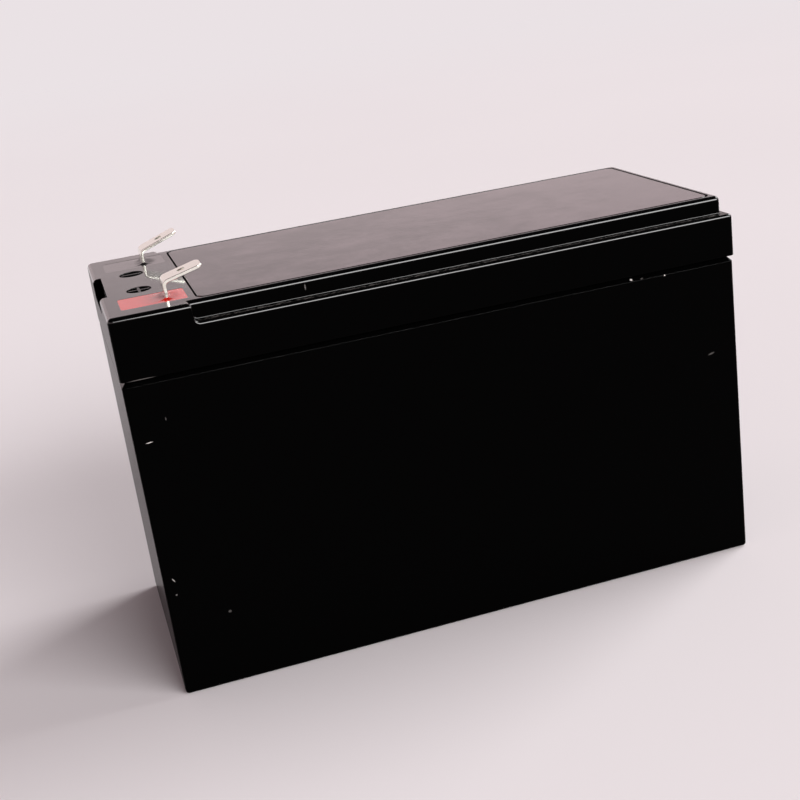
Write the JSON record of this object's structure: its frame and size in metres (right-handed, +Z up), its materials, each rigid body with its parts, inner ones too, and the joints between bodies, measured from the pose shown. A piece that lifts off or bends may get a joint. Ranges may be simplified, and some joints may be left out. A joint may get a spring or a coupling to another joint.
{
  "type": "ups battery",
  "caption": "Sealed lead-acid battery: black oblong plastic case with a stepped lid, welded vent cover and two bent blade terminals at one end, one in red epoxy.",
  "frame": {"origin": "middle of the underside, on the surface that the battery stands on", "axes": "+X along the case from the terminal end to the plain end, +Y across it from the positive side to the negative side, +Z up"},
  "size_m": [0.151, 0.065, 0.1007],
  "materials": {
    "container_abs": "glossy black moulded plastic",
    "lid_abs": "glossy black moulded plastic, dusty on top",
    "cover_abs": "glossy black moulded plastic, dusty on top",
    "lid_epoxy": "cured epoxy adhesive",
    "cap_rubber": "moulded black rubber",
    "tinned_brass": "tin-plated brass strip",
    "red_epoxy": "cast red epoxy, glossy",
    "black_epoxy": "cast black epoxy, glossy",
    "positive_plate": "brown lead dioxide paste on a lead grid",
    "negative_plate": "grey sponge lead paste on a lead grid",
    "glass_mat": "white glass fibre mat",
    "cast_lead": "dull cast lead"
  },
  "bodies": {
    "root": {"container": "container_abs", "lid": "lid_abs", "vent_cover": "cover_abs", "lid_adhesive": "lid_epoxy", "vent_cap_1": "cap_rubber", "vent_cap_2": "cap_rubber", "vent_cap_3": "cap_rubber", "vent_cap_4": "cap_rubber", "vent_cap_5": "cap_rubber", "vent_cap_6": "cap_rubber", "positive_terminal": "tinned_brass", "negative_terminal": "tinned_brass", "positive_seal": "red_epoxy", "negative_seal": "black_epoxy", "cell_1_positive_plates": "positive_plate", "cell_2_positive_plates": "positive_plate", "cell_3_positive_plates": "positive_plate", "cell_4_positive_plates": "positive_plate", "cell_5_positive_plates": "positive_plate", "cell_6_positive_plates": "positive_plate", "cell_1_negative_plates": "negative_plate", "cell_2_negative_plates": "negative_plate", "cell_3_negative_plates": "negative_plate", "cell_4_negative_plates": "negative_plate", "cell_5_negative_plates": "negative_plate", "cell_6_negative_plates": "negative_plate", "cell_1_glass_mat": "glass_mat", "cell_2_glass_mat": "glass_mat", "cell_3_glass_mat": "glass_mat", "cell_4_glass_mat": "glass_mat", "cell_5_glass_mat": "glass_mat", "cell_6_glass_mat": "glass_mat", "cell_bridge_1_2": "cast_lead", "cell_bridge_2_3": "cast_lead", "cell_bridge_3_4": "cast_lead", "cell_bridge_4_5": "cast_lead", "cell_bridge_5_6": "cast_lead"}
  },
  "joints": []
}
